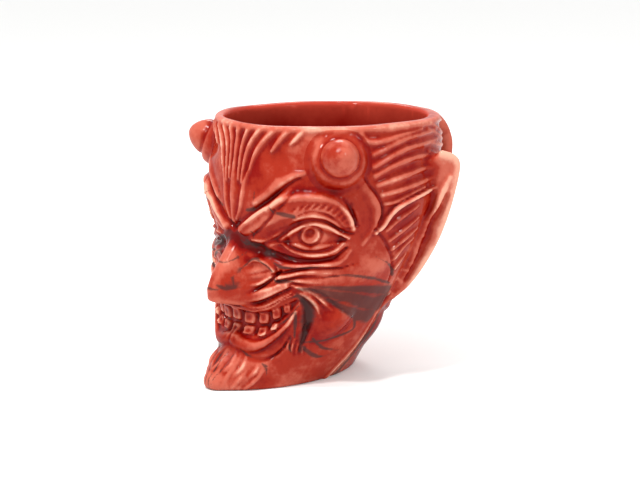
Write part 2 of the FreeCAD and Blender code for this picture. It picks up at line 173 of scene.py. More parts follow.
# ---------------------------------------------------------------- relief drawn on the skin
# Many points of the relief and brush marks were picked by eye on the photograph and carried onto the skin by
# a scratch program that used the photograph's camera. Few of them are exactly as first carried over.
class Relief:
    """Heights on the unrolled skin: angle in degrees along one axis, level in millimetres up the other."""

    ANGLES = (-40.0, 200.0)
    RISE = (-3.0, 104.0)
    PITCH = 0.25
    PER_DEGREE = 0.72  # millimetres of skin for a degree, near the eyes

    def __init__(self):
        across = np.arange(self.ANGLES[0] * self.PER_DEGREE, self.ANGLES[1] * self.PER_DEGREE, self.PITCH)
        up = np.arange(*self.RISE, self.PITCH)
        self.across, self.up = across, up
        self.heights = np.zeros((len(across), len(up)))

    def window(self, low, high):
        """The slices of the skin inside a box."""
        cut = []
        for axis, lo, hi in zip((self.across, self.up), low, high):
            cut.append(slice(np.searchsorted(axis, lo), np.searchsorted(axis, hi)))
        return tuple(cut)

    def measured(self, points, reach):
        """Window round a line, with each spot's distance from the line and its place along it, 0 to 1."""
        line = spline(points)
        line[:, 0] *= self.PER_DEGREE
        cut = self.window(line.min(0) - reach, line.max(0) + reach)
        u, v = np.meshgrid(self.across[cut[0]], self.up[cut[1]], indexing="ij")
        near, place = np.full(u.shape, 1e6), np.zeros(u.shape)
        for i, (start, end) in enumerate(zip(line[:-1], line[1:])):
            run = end - start
            t = np.clip(((u - start[0]) * run[0] + (v - start[1]) * run[1]) / (run @ run + 1e-9), 0, 1)
            d = np.hypot(u - start[0] - t * run[0], v - start[1] - t * run[1])
            closer = d < near
            near[closer] = d[closer]
            place[closer] = (i + t[closer]) / (len(line) - 1)
        return cut, near, place

    def stroke(self, points, width, height, ends, shape="soft", mode="add"):
        """A ridge (height over 0) or groove along a line. ends are the widths at its two ends, as a share.

        Heights add up, or with mode "over" the highest one shows.
        """
        cut, near, place = self.measured(points, width + 1)
        share = np.interp(place, (0, 0.5, 1), (ends[0], 1.0, ends[1]))
        d = near / (width * np.maximum(share, 0.05))
        rise = height * share**0.5 * PROFILES[shape](d)
        if mode == "add":
            self.heights[cut] += rise
        else:
            self.heights[cut] = np.maximum(self.heights[cut], rise)

    def dome(self, angle, z, wide, tall, height, shape="soft", tilt=0.0, square=False):
        """An oval or squarish swelling with half sizes in millimetres, tilted by an angle in degrees."""
        reach = max(wide, tall) + 1
        centre = np.array([angle * self.PER_DEGREE, z])
        cut = self.window(centre - reach, centre + reach)
        u, v = np.meshgrid(self.across[cut[0]] - centre[0], self.up[cut[1]] - centre[1], indexing="ij")
        c, s = math.cos(math.radians(tilt)), math.sin(math.radians(tilt))
        across, up = (u * c + v * s) / wide, (v * c - u * s) / tall
        d = (across**4 + up**4) ** 0.25 if square else np.hypot(across, up)
        self.heights[cut] += height * PROFILES[shape](d)

    def read(self, angle, z):
        """Heights at any angles and levels, between the drawn spots."""
        i = np.clip((angle * self.PER_DEGREE - self.across[0]) / self.PITCH, 0, len(self.across) - 1.001)
        j = np.clip((z - self.up[0]) / self.PITCH, 0, len(self.up) - 1.001)
        i0, j0 = i.astype(int), j.astype(int)
        fi, fj = i - i0, j - j0
        g = self.heights
        return ((g[i0, j0] * (1 - fi) + g[i0 + 1, j0] * fi) * (1 - fj)
                + (g[i0, j0 + 1] * (1 - fi) + g[i0 + 1, j0 + 1] * fi) * fj)


PROFILES = {
    "soft": lambda d: np.clip(1 - d * d, 0, 1) ** 2,
    "round": lambda d: np.sqrt(np.clip(1 - d * d, 0, 1)),
    "flat": lambda d: fade(d, 0.55, 1.0),
    "block": lambda d: fade(d, 0.78, 1.0),
    "ring": lambda d: np.clip(1 - ((d - 0.78) / 0.22) ** 2, 0, 1) ** 2,
}


def brows(r):
    """The slanted brow with its tufts and hairs, the fold above it and the furrow between the two."""
    crest = [(22, 70), (28, 73.5), (34.2, 75), (42, 75.8), (50, 75.4), (56.3, 73), (60, 69), (63, 63.5)]
    r.stroke([(8, 62.5), (20, 67.5), (30, 71.5), (42, 73), (52, 71.5), (60, 66)], 5.8, 1.5, (0.7, 0.45),
              "flat")
    r.stroke(crest, 3.0, 1.1, (0.4, 0.5))
    r.stroke([(56, 72), (60, 68.5), (63.5, 63)], 1.5, 0.9, (0.4, 0.9))
    r.stroke([(14, 72), (20.3, 75.8), (27.5, 80), (33.5, 82.8), (39, 84.2)], 3.3, 1.1, (0.5, 0.35))
    r.stroke([(-1, 61.3), (8, 65.4), (15, 69.5), (22, 73.6), (28, 78), (33.5, 81.2), (37, 82.6)], 1.6, -1.5,
              (1.0, 0.3))
    r.stroke([(5, 60.5), (10.5, 64.7), (18, 69), (24, 72)], 1.7, 0.9, (0.6, 0.5))
    r.stroke([(24.5, 72), (28.6, 75.4), (33, 78.2)], 1.8, 1.0, (0.8, 0.3))
    r.stroke([(12.5, 59.5), (18.5, 63.3), (23, 66.8), (25.7, 70.5)], 1.1, -1.1, (0.5, 0.5))
    r.stroke([(27.3, 70.8), (31.4, 74.2), (34.3, 77.3)], 0.9, -0.9, (0.6, 0.4))
    r.stroke([(12.5, 57.7), (20, 57.8), (26, 60.3), (31, 63), (36, 65.2)], 1.3, 1.1, (0.7, 0.4))
    r.stroke([(57.5, 74.5), (60.4, 71), (62.3, 68), (64.2, 64.5)], 1.3, -1.1, (0.4, 0.6))
    r.stroke([(61.5, 72), (63.5, 69), (66, 65)], 1.3, 0.7, (0.4, 0.5))
    # short slanted hairs along the outer half
    hairs = ((33.8, 70.4, 2.4), (37.0, 71.0, 3.0), (40.4, 71.6, 2.9), (43.6, 71.6, 2.6), (46.6, 71.2, 3.0),
             (49.6, 70.6, 2.8), (52.2, 69.4, 2.8), (54.4, 68.0, 2.4), (56.6, 66.4, 1.8))
    for angle, z, long in hairs:
        lean = 0.95 * long
        r.stroke([(angle, z), (angle + lean, z + 0.62 * long)], 0.62, -0.62, (0.6, 0.4))
        r.stroke([(angle + 1.5, z), (angle + 1.5 + lean, z + 0.62 * long)], 0.62, 0.42, (0.6, 0.4))


def eye(r):
    """The eye between its lids, the folds above and the hollow and bag below."""
    r.dome(40, 59, 17.0, 8.5, -1.7, "flat", tilt=3)
    # the hollow between the lids, with the eyeball standing in it
    r.stroke([(30.5, 57.8), (37, 59.7), (44, 60.2), (52, 59.8), (60, 59)], 5.4, -2.0, (0.15, 0.2), "flat")
    r.dome(44.5, 60.0, 9.6, 5.2, 2.3, "round")
    r.dome(43.0, 60.8, 5.0, 4.9, -0.7, "ring")
    r.dome(43.0, 60.8, 3.9, 3.8, 0.6, "ring")
    r.dome(42.6, 61.5, 2.1, 2.1, -0.9, "flat")
    # upper lid, the crease over it, its fold and the thin crease under the brow
    lid = [(27.5, 58.4), (31.6, 60.9), (35, 62.8), (38.6, 64.3), (43, 65.0), (47.5, 65), (52, 64),
           (57.6, 61.4), (62, 59.7)]
    r.stroke(lid, 1.0, 1.3, (0.6, 0.8))
    r.stroke([(19, 57), (25.7, 59.5), (30, 62.3), (34, 64.6), (38, 66.2), (43, 66.9), (48, 66.7),
              (51.5, 65.6), (55.2, 63.9), (60, 62), (64, 61.3)], 1.1, -1.0, (0.7, 0.5))
    r.stroke([(35, 66.8), (38.4, 67.9), (42.6, 68.5), (46.6, 68.3), (50.7, 67.4), (54.1, 65.8), (57, 63.9)],
              1.25, 1.0, (0.5, 0.5))
    r.stroke([(36.7, 68.3), (39.3, 69.6), (43, 70.2), (46.8, 69.9), (50.3, 69), (53.3, 67.6), (56, 66)],
              0.7, -0.8, (0.5, 0.5))
    # lower lid
    r.stroke([(23, 56.3), (28, 57.3), (31, 56), (34.4, 54.6), (39, 53.7), (44.2, 53.2), (49, 53.4),
              (53.2, 54), (57, 55.4), (60, 58)], 0.9, 1.2, (0.6, 0.7))
    r.stroke([(23, 53.6), (30, 51.7), (36.5, 51), (42.5, 50.8), (48.3, 51), (54, 51.8), (58, 53), (62, 56)],
              1.9, -1.7, (1.0, 0.5))
    # bag under the eye and the creases that run back from it
    r.stroke([(27, 48), (34, 49), (45, 49.4), (57, 49.8), (62, 51.5), (64.5, 55)], 1.7, 0.9, (0.3, 0.4))
    r.dome(16, 54.0, 6.6, 4.2, -3.0, tilt=-10)
    r.dome(28, 52.0, 8.0, 2.6, -1.2, tilt=-6)
    r.dome(21, 58.0, 4.5, 2.0, -0.6, tilt=25)


def temples(r):
    """The raised vein beside the eye and the step at the hairline."""
    r.stroke([(61, 84), (65.4, 81), (68, 77.5), (71.3, 74), (73.6, 70.5), (74.3, 66.5), (73.5, 62.5),
              (70, 57)], 2.8, 0.9, (0.7, 0.4))
    r.stroke([(67, 82), (69.6, 79), (73.3, 75.5), (76.5, 71), (77.2, 67.5), (75.6, 64.8)], 1.1, -0.9,
              (0.6, 0.7))
    r.stroke([(74.2, 62.5), (79.5, 59.5), (85.5, 55), (91, 50.5), (97.5, 44.7), (100, 40)], 1.2, -0.9,
              (0.6, 0.7))
    r.stroke([(60.8, 73), (62.7, 69.5), (66, 64.5)], 1.6, -0.7, (0.5, 0.4))
    r.dome(56, 79, 6.5, 3.0, -0.9)
    r.dome(30, 88, 11, 6, -0.7)


def cheeks(r):
    """Cheekbone, the ball of the cheek, the fan of creases at the mouth's corner and the jaw's edge."""
    r.dome(78, 47, 15, 8.0, 1.4, tilt=16)
    r.dome(71.5, 26.5, 11.0, 9.5, 3.9, tilt=25)
    # long creases from the nose's wing back under the eye
    r.stroke([(26, 45.2), (35, 46.7), (42, 48), (50, 48.4), (62, 48.3), (70, 50)], 1.0, -1.3, (1.0, 0.2))
    r.stroke([(28, 43.8), (35, 45.2), (41.6, 46.6), (48, 46.8), (58, 46.3)], 1.1, 0.8, (0.9, 0.3))
    r.stroke([(29, 42.6), (36, 43.9), (44, 45), (54, 44.8), (64, 45.6)], 0.8, -1.0, (1.0, 0.3))
    r.stroke([(30, 41.8), (37.7, 43.2), (45, 43.2), (54, 42.6)], 1.1, 0.8, (0.8, 0.3))
    r.stroke([(38, 42.6), (44, 41.9), (52, 41.2)], 0.7, -0.7, (1.0, 0.2))
    # folds from the mouth's corner over the ball of the cheek
    r.stroke([(38, 41.5), (43, 40.6), (49.5, 38.7), (57, 35.6), (66, 31.5)], 1.2, 1.2, (0.6, 0.2))
    r.stroke([(44, 38.6), (50, 36.5), (56, 32.8), (60, 29)], 1.2, 1.3, (0.7, 0.2))
    r.stroke([(45, 40.3), (52, 37.4), (58.5, 33.6), (64, 30)], 0.7, -0.9, (0.7, 0.2))
    r.stroke([(47, 40.7), (56, 38.2), (67, 33.5), (79, 29)], 1.0, -0.8, (0.4, 0.3))
    # the pit beside the mouth and the wrinkles that hang from it
    r.stroke([(46, 36), (51, 32), (54.5, 26), (56, 19)], 3.6, -1.9, (0.4, 0.5))
    r.dome(53.5, 24.5, 2.0, 2.8, -1.3)
    for angle, top, foot in ((45.5, 21, 14.6), (49.3, 20, 13.6), (53.2, 18.8, 13.2), (57.5, 17.6, 13.0)):
        r.stroke([(angle, top), (angle + 0.8, (top + foot) / 2), (angle + 3.5, foot)], 0.9, 0.8, (0.5, 0.2))
        r.stroke([(angle + 1.9, top), (angle + 2.7, (top + foot) / 2), (angle + 5.2, foot)], 0.7, -0.7,
                  (0.5, 0.2))
    # the jaw's edge, the groove behind it and the roll of the neck
    r.stroke([(107, 33), (109.5, 24), (108, 15), (103, 7), (97, 0)], 1.6, 0.8, (0.3, 1.0))
    r.stroke([(111, 33), (113.5, 24), (112, 15), (107.5, 7), (102, 0)], 2.2, -2.2, (0.5, 1.0))
    r.dome(130, 18, 13, 10, 1.5)


def muzzle(r):
    """Nose wing, upper lip and its planes, lower lip, and the teeth in the hollow between them."""
    r.dome(13, 44.6, 7.0, 3.2, 0.9, tilt=18)
    r.stroke([(6, 44.5), (9.5, 47.6), (14.6, 50.3), (22, 49.2), (26.5, 46.5)], 1.0, 1.0, (0.5, 0.5))
    r.stroke([(9, 43.6), (15, 44.8), (24, 46.6)], 0.9, -0.6, (0.4, 0.8))
    r.stroke([(12, 40.3), (19, 41.3), (25.5, 44.2)], 1.1, 1.0, (0.6, 0.5))
    r.stroke([(4, 36.3), (12, 37.6), (18, 39.2), (26, 43.4), (30, 46.8)], 1.2, -1.6, (0.6, 0.8))
    r.stroke([(27, 49), (28, 45.6), (29.6, 42.8)], 1.0, -1.1, (0.6, 0.5))
    # the block of the upper lip
    r.stroke([(0, 35), (12, 35.3), (22, 37.4), (30, 40), (35, 41.3)], 2.6, 1.7, (0.8, 0.5), "flat")
    r.stroke([(1, 35), (7.7, 33.4), (18, 33.8), (27, 36.3), (33, 38.7), (40.5, 41.6)], 0.75, -1.1,
              (0.8, 0.5))
    # the hollow of the mouth, and the two lines of the upper lip over it
    r.stroke([(-20, 25.6), (0, 25.6), (12, 25.2), (22, 25.5), (31, 28.4), (38, 32), (43, 35.2)], 5.6, -2.0,
              (0.95, 0.2), "flat")
    r.stroke([(-12, 32.6), (3, 32.4), (8.2, 31.9), (15, 31.7), (20.3, 32.1), (25, 33), (30.2, 35),
              (34.8, 37.1), (39, 38.7)], 0.95, 1.3, (0.9, 0.6))
    r.stroke([(-12, 30.7), (3, 30.5), (9.4, 30.5), (17.4, 30.4), (25.3, 31.8), (30.5, 33.5), (35.1, 36),
              (41, 38)], 0.8, 1.2, (0.9, 0.6))
    upper = ((0.0, 27.7, 4.6, 2.6, 0), (12.3, 27.1, 5.3, 2.6, 2), (23.5, 27.7, 4.1, 2.6, 6),
             (32.0, 29.9, 3.2, 2.4, 14), (38.2, 32.1, 2.3, 1.9, 22))
    lower = ((0.0, 22.5, 4.2, 1.7, 0), (12.9, 22.4, 5.3, 1.7, 2), (24.6, 22.6, 4.0, 1.8, 6),
             (32.6, 25.0, 2.6, 1.4, 16))
    for angle, z, half, tall, tilt in upper + lower:
        wide = half * r.PER_DEGREE
        r.dome(angle, z, wide, tall, 1.5, "block", tilt, square=True)
        r.dome(angle, z, wide * 0.55, tall * 0.6, -0.4, tilt=tilt)
    # lower lip, with a notch in its middle
    r.stroke([(-15, 18.2), (-7, 18.9), (0, 18.9), (6, 18.2), (13, 17.1), (20, 16.6), (26, 17.2), (32, 19.4),
              (37, 22.4), (41, 26), (44, 31)], 2.3, 2.2, (0.9, 0.4), "round")
    r.stroke([(0, 22.2), (0.4, 17)], 0.9, -0.8, (0.5, 0.7))
    r.stroke([(3.5, 21.4), (4.5, 19), (8, 17.5)], 0.7, -0.4, (0.5, 0.5))
    r.stroke([(-24, 13), (-13, 14.6), (0, 15.2), (10, 13.8), (22, 12.2), (33, 11.8), (40, 13.4), (44.3, 17),
              (45.5, 21)], 1.6, -1.7, (0.8, 0.5))


BACK_LOCKS, BACK_PITCH = 26, 2.75


def hair(r):
    """Fingers of hair swept back from the temples, and on round to the middle of the back."""
    comb = Relief()
    fingers = (
        ([(66, 98.5), (70, 95.2), (79.7, 95.4), (88.6, 96.8), (104, 98)], 1.83),
        ([(72, 90.6), (78, 92.3), (85, 94.3), (96, 95.8), (120, 96.5)], 1.95),
        ([(72, 86.0), (79, 88.6), (88, 91.0), (98.2, 92.1), (122, 92.6)], 1.95),
        ([(72.5, 82.6), (81, 85.4), (90.5, 87.2), (101.3, 87.9), (125, 87)], 1.89),
        ([(73.8, 79.1), (81.4, 80.4), (91.4, 81.9), (103, 83.0), (122, 83)], 1.83),
        ([(76.1, 75.4), (84.6, 76.2), (95.1, 77.5), (106.8, 78.6), (118, 80)], 1.77),
        ([(77.5, 71.8), (84, 72.3), (94, 74.6), (104, 76)], 1.28),
        ([(81.6, 61.6), (86.8, 64.9), (93.1, 67.3), (100, 69.2)], 1.71),
        ([(85.4, 57.4), (90, 59.6), (95, 61.6), (102, 64.5)], 1.65),
        ([(88.8, 53.4), (93.5, 55.6), (99, 57.9), (104, 60)], 1.52),
        ([(93.5, 48.8), (95.6, 51.8), (99, 54.2), (104, 56)], 1.34),
        ([(98.5, 44.2), (100, 47.5), (103, 50.3)], 1.22),
    )
    for line, wide in fingers:
        comb.stroke(line, wide, 1.05, (0.8, 0.45), mode="over")
    comb.stroke([(75.5, 61), (78.6, 63.6), (81, 67.2), (86, 70.4), (95.5, 72.6), (106, 74), (114, 76)],
                 1.25, 2.0, (0.7, 0.5), "round", mode="over")
    chance = np.random.default_rng(SEED)
    for i in range(BACK_LOCKS):
        top = 99.5 - BACK_PITCH * i
        sag = 9 + 0.5 * i
        drift = chance.uniform(-1.6, 1.6, 4)
        long = chance.uniform(60, 82)
        start = 108 + chance.uniform(0, 7)
        line = [(start, top + 2 + drift[0]), (start + 0.33 * long, top - 0.25 * sag + drift[1]),
                (start + 0.66 * long, top - 0.62 * sag + drift[2]), (start + long, top - sag + drift[3])]
        comb.stroke(line, chance.uniform(1.5, 2.3), chance.uniform(1.0, 1.4), (0.4, 0.5), mode="over")
    r.heights += comb.heights


def widows_peak(r):
    """Locks from the rim to a point between the brows, and short locks under the rim beside them."""
    comb = Relief()
    locks = (
        ([(0.6, 99), (-0.4, 93), (0.3, 86), (0.8, 78)], 1.5),
        ([(7.0, 99), (4.6, 94.5), (3.6, 89), (3.4, 80)], 1.6),
        ([(14.2, 99), (9.6, 94.5), (7.0, 89), (5.6, 79)], 1.7),
        ([(21.8, 98.8), (16.2, 94.3), (12.6, 90), (10.2, 84)], 1.8),
        ([(29.4, 98.8), (25.2, 95.0), (21.8, 91.6)], 1.7),
        ([(37.0, 98.8), (34.0, 96.2), (31.4, 94.4)], 1.5),
    )
    for side in (-1, 1):
        for line, wide in locks:
            comb.stroke([(side * angle, z) for angle, z in line], wide, 1.5, (1.0, 0.5), mode="over")
        # the broad smooth fork that ends in the point
        edge = [(10.5, 85), (7.5, 79.5), (6.2, 74), (5.0, 69), (2.5, 65)]
        comb.stroke([(side * angle, z) for angle, z in edge], 1.7, 1.1, (0.5, 0.5), mode="over")
    comb.stroke([(0, 82), (0, 74), (0, 64.5)], 2.9, 1.15, (0.9, 0.5), mode="over")
    r.heights += comb.heights


def drawn_relief():
    """All of the relief, run out into a plain raised lip under the rim."""
    r = Relief()
    for draw in (temples, brows, eye, cheeks, muzzle, hair, widows_peak):
        draw(r)
    r.heights *= fade(r.up, 98.0, 100.2)[None, :]
    r.heights += 0.9 * PROFILES["soft"]((r.up - 100.4) / 2.6)[None, :]
    return r


RELIEF = drawn_relief()


# ---------------------------------------------------------------- fields on points
class Block:
    """Evenly spaced points along three axes, and a distance on each of them."""

    def __init__(self, axes, field=None):
        self.axes, self.field = axes, field
        self.low = np.array([axis[0] for axis in axes])

    def spread(self):
        """x, y and z of the points, laid out to spread over the block."""
        return np.meshgrid(*self.axes, indexing="ij", sparse=True)

    def window(self, low, high):
        """The slices inside a box, with their x, y and z laid out to spread over it, or None for too few."""
        cut = []
        for axis, lo, hi in zip(self.axes, low, high):
            cut.append(slice(np.searchsorted(axis, lo), np.searchsorted(axis, hi)))
        if min(c.stop - c.start for c in cut) < 2:
            return None
        x, y, z = (axis[c] for axis, c in zip(self.axes, cut))
        return tuple(cut), x[:, None, None], y[None, :, None], z[None, None, :]

    def cut(self, low, high):
        """A smaller block that shares this one's points."""
        cut = self.window(low, high)[0]
        return Block([axis[c] for axis, c in zip(self.axes, cut)], self.field[cut].copy())

    def mirrored(self):
        """This block with its other half, where it starts at x = 0."""
        x = self.axes[0]
        axes = [np.concatenate([-x[:0:-1], x]), self.axes[1], self.axes[2]]
        return Block(axes, np.concatenate([self.field[:0:-1], self.field], axis=0))


def tube(points, radii, x, y, z):
    """Distance from a round bar along a line whose radius changes from point to point."""
    rows = np.column_stack([np.asarray(points, float), radii])
    line = spline(rows, 5)
    best = None
    for start, end in zip(line[:-1], line[1:]):
        run = end[:3] - start[:3]
        t = (x - start[0]) * run[0] + (y - start[1]) * run[1] + (z - start[2]) * run[2]
        t = np.clip(t / (run @ run + 1e-9), 0, 1)
        gap = np.sqrt((x - start[0] - t * run[0]) ** 2 + (y - start[1] - t * run[1]) ** 2
                      + (z - start[2] - t * run[2]) ** 2)
        d = gap - (start[3] + t * (end[3] - start[3]))
        best = d if best is None else np.minimum(best, d)
    return best


def oval(centre, radii, x, y, z):
    """Distance from an ellipsoid, near enough close to its surface."""
    u, v, w = ((axis - c) / r for axis, c, r in zip((x, y, z), centre, radii))
    size = np.sqrt(u * u + v * v + w * w) + 1e-6
    slope = np.sqrt((u / radii[0]) ** 2 + (v / radii[1]) ** 2 + (w / radii[2]) ** 2) / size
    return (size - 1) / np.maximum(slope, LEAST_SLOPE)


def add_bar(block, points, radii, soft):
    """Joins a bar to the block's clay."""
    points = np.asarray(points, float)
    reach = max(radii) + soft + 1
    part = block.window(points.min(0) - reach, points.max(0) + reach)
    if part is None:
        return
    cut, x, y, z = part
    block.field[cut] = join(block.field[cut], tube(points, radii, x, y, z), soft)


# ---------------------------------------------------------------- what stands off the skin
NOSE_RIDGE = ((70, -36), (63, -41.0), (59.5, -45.0), (54, -49.4), (49, -53.4), (44, -57.0), (39, -59.2),
              (35, -59.0), (28, -56.5))
NOSE_LOW, NOSE_EDGE, NOSE_FLARE, NOSE_SOFT = 32.6, 2.2, 0.60, 1.6
NOSE_BOX = ((-1, -66, 28), (17, -30, 72))
NOSE_FRONT_SCALE, NOSE_UNDER_SLOPE, NOSE_UNDER_AT, NOSE_ROOT, NOSE_ROOT_SOFT = 0.8, 0.16, 50, 41, 2.0


def nose(block):
    """A long beak: a narrow flat ridge, sides that slope back from it and a level underside."""
    part = block.window(*NOSE_BOX)
    if part is None:
        return
    cut, x, y, z = part
    levels, reach = zip(*NOSE_RIDGE[::-1])
    front = np.interp(z, levels, reach)
    sides = (np.abs(x) - NOSE_EDGE - (y - front) * NOSE_FLARE) / math.hypot(1, NOSE_FLARE)
    beak = trim((front - y) * NOSE_FRONT_SCALE, sides, NOSE_SOFT)
    beak = trim(beak, NOSE_LOW - NOSE_UNDER_SLOPE * (y + NOSE_UNDER_AT) - z, NOSE_SOFT)
    beak = trim(beak, y + NOSE_ROOT, NOSE_ROOT_SOFT)
    block.field[cut] = join(block.field[cut], beak, NOSE_SOFT)


# Line, radii along it and fillet of the beard's two bars.
BEARD_BARS = (
    ([(0, -42, 10), (0, -49, 7.6), (0, -54.5, 4.6), (0, -57.0, 3.2)], [9.5, 7.2, 5.0, 3.9], 3.5),
    ([(7.5, -40, 8.5), (6.5, -46, 5.5), (4.5, -51.5, 2.8), (2.0, -56, 2.2)], [8.0, 6.4, 4.6, 3.4], 3.0),
)
# The strands run between an inner and an outer line, and every other one sways the other way.
STRANDS, STRAND_BULGE, STRAND_SOFT = 8, 1.6, 0.35
STRAND_RADII = (0.5, 0.95, 0.85, 0.5)
INNER_STRAND = np.array(((0.2, -49.6, 15.8), (1.6, -54.8, 11.0), (0.0, -58.8, 6.4), (0.6, -60.0, 2.2)))
OUTER_STRAND = np.array(((13.6, -43.0, 11.6), (14.4, -45.4, 7.4), (12.2, -48.4, 3.6), (10.4, -51.0, 0.8)))
SWAY = np.array(((0, 0, 0), (0.5, 0, 0), (-0.5, 0, 0), (0, 0, 0)))


def beard(block):
    """A pointed beard that slopes forward to its tip at the foot, with shallow S-shaped strands."""
    for line, radii, soft in BEARD_BARS:
        add_bar(block, line, radii, soft)
    for i in range(STRANDS):
        share = i / (STRANDS - 1)
        bulge = np.array((0.0, -STRAND_BULGE * math.sin(math.pi * share), 0.0))
        strand = INNER_STRAND * (1 - share) + OUTER_STRAND * share + bulge + SWAY * (-1) ** i
        add_bar(block, strand, STRAND_RADII, STRAND_SOFT)


RELIEF_REACH = 9  # how far from the plain skin the relief is worked out


def head_clay(low, high):
    """The solid head with all its relief, not yet hollowed, on the points of a box."""
    low = np.array(low, float)
    counts = np.ceil((np.array(high) - low) / STEP).astype(int) + 1
    block = Block([low[i] + STEP * np.arange(counts[i]) for i in range(3)])
    x, y, z = block.spread()
    block.field = skull(x, y, z).astype(np.float32)
    near = np.abs(block.field) < RELIEF_REACH
    place = [np.broadcast_to(axis, block.field.shape)[near] for axis in (x, y, z)]
    block.field[near] -= RELIEF.read(bearing(*place), place[2]) - brow_slope(*place)
    nose(block)
    beard(block)
    return block


def hollowed(block):
    """The finished shell's field: open at the top, a round rim, a flat inside floor and a dished foot."""
    x, y, z = block.spread()
    angle = np.arctan2(x, -y)
    wave = sum(height * np.sin(count * angle + start) for height, count, start in RIM_WAVES)
    inside = trim(skull(x, y, z, WALL), FLOOR - z, FLOOR_ROUND)
    solid = trim(block.field, -z, FOOT_ROUND)
    shell = trim(solid, -inside, MOUTH_ROUND)
    shell = trim(shell, z + wave * WAVE_SHARE - HEAD_TALL, RIM_ROUND)
    foot = oval(DISH_CENTRE, DISH_HALF, x, y, z)
    return trim(shell, -foot, DISH_ROUND).astype(np.float32)


RUNS_REACH = 1.7  # reach of three runs of a box filter, in half widths of the box


def blurred(field, reach):
    """The field averaged over a reach, by three runs of a box filter along each axis."""
    width = max(1, int(round(reach / STEP / RUNS_REACH)))
    for axis in range(3):
        for _ in range(3):
            pad = [(width + 1, width) if k == axis else (0, 0) for k in range(3)]
            total = np.cumsum(np.pad(field, pad, mode="edge"), axis=axis, dtype=np.float64)
            high = np.take(total, range(2 * width + 1, total.shape[axis]), axis=axis)
            low = np.take(total, range(0, total.shape[axis] - 2 * width - 1), axis=axis)
            field = ((high - low) / (2 * width + 1)).astype(np.float32)
    return field


def sampled(field, block, points):
    """The field's values at free points of its block, given in the sculpt's millimetres."""
    at = (points - block.low) / STEP
    at = np.clip(at, 0, np.array(field.shape) - 1.001)
    i = at.astype(int)
    f = at - i
    value = 0
    for corner in np.ndindex(2, 2, 2):
        weight = np.prod([f[:, k] if corner[k] else 1 - f[:, k] for k in range(3)], axis=0)
        value = value + weight * field[i[:, 0] + corner[0], i[:, 1] + corner[1], i[:, 2] + corner[2]]
    return value
